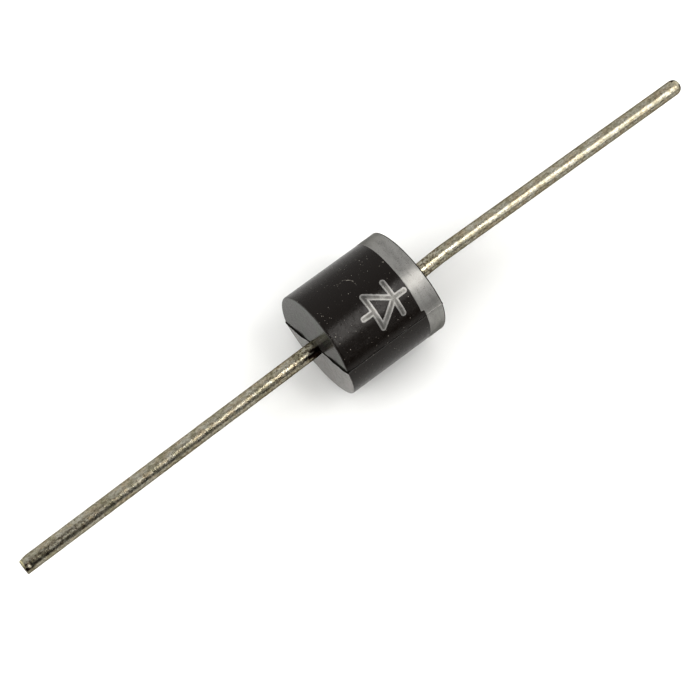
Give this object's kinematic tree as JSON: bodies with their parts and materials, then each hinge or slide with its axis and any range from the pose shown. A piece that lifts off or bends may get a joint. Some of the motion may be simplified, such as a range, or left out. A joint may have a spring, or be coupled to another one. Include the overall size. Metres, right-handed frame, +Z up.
{
  "type": "axial rectifier diode",
  "caption": "Axial power rectifier diode: a black moulded epoxy cylinder with a silver cathode band and a stiff tinned wire lead from each end.",
  "frame": {"origin": "middle of the case, on its axis", "axes": "+X along the case's axis to the cathode end, +Z up with the diode lying on its side"},
  "size_m": [0.0616, 0.0086, 0.0086],
  "materials": {
    "epoxy": "satin",
    "silver_ink": "satin",
    "tinned_wire": "satin",
    "silicon": "gloss",
    "solder": "satin",
    "silicone": "matte"
  },
  "bodies": {
    "root": {"epoxy_case": "epoxy", "cathode_band": "silver_ink", "anode_lead": "tinned_wire", "cathode_lead": "tinned_wire", "silicon_die": "silicon", "anode_solder": "solder", "cathode_solder": "solder", "junction_coating": "silicone"}
  },
  "joints": []
}
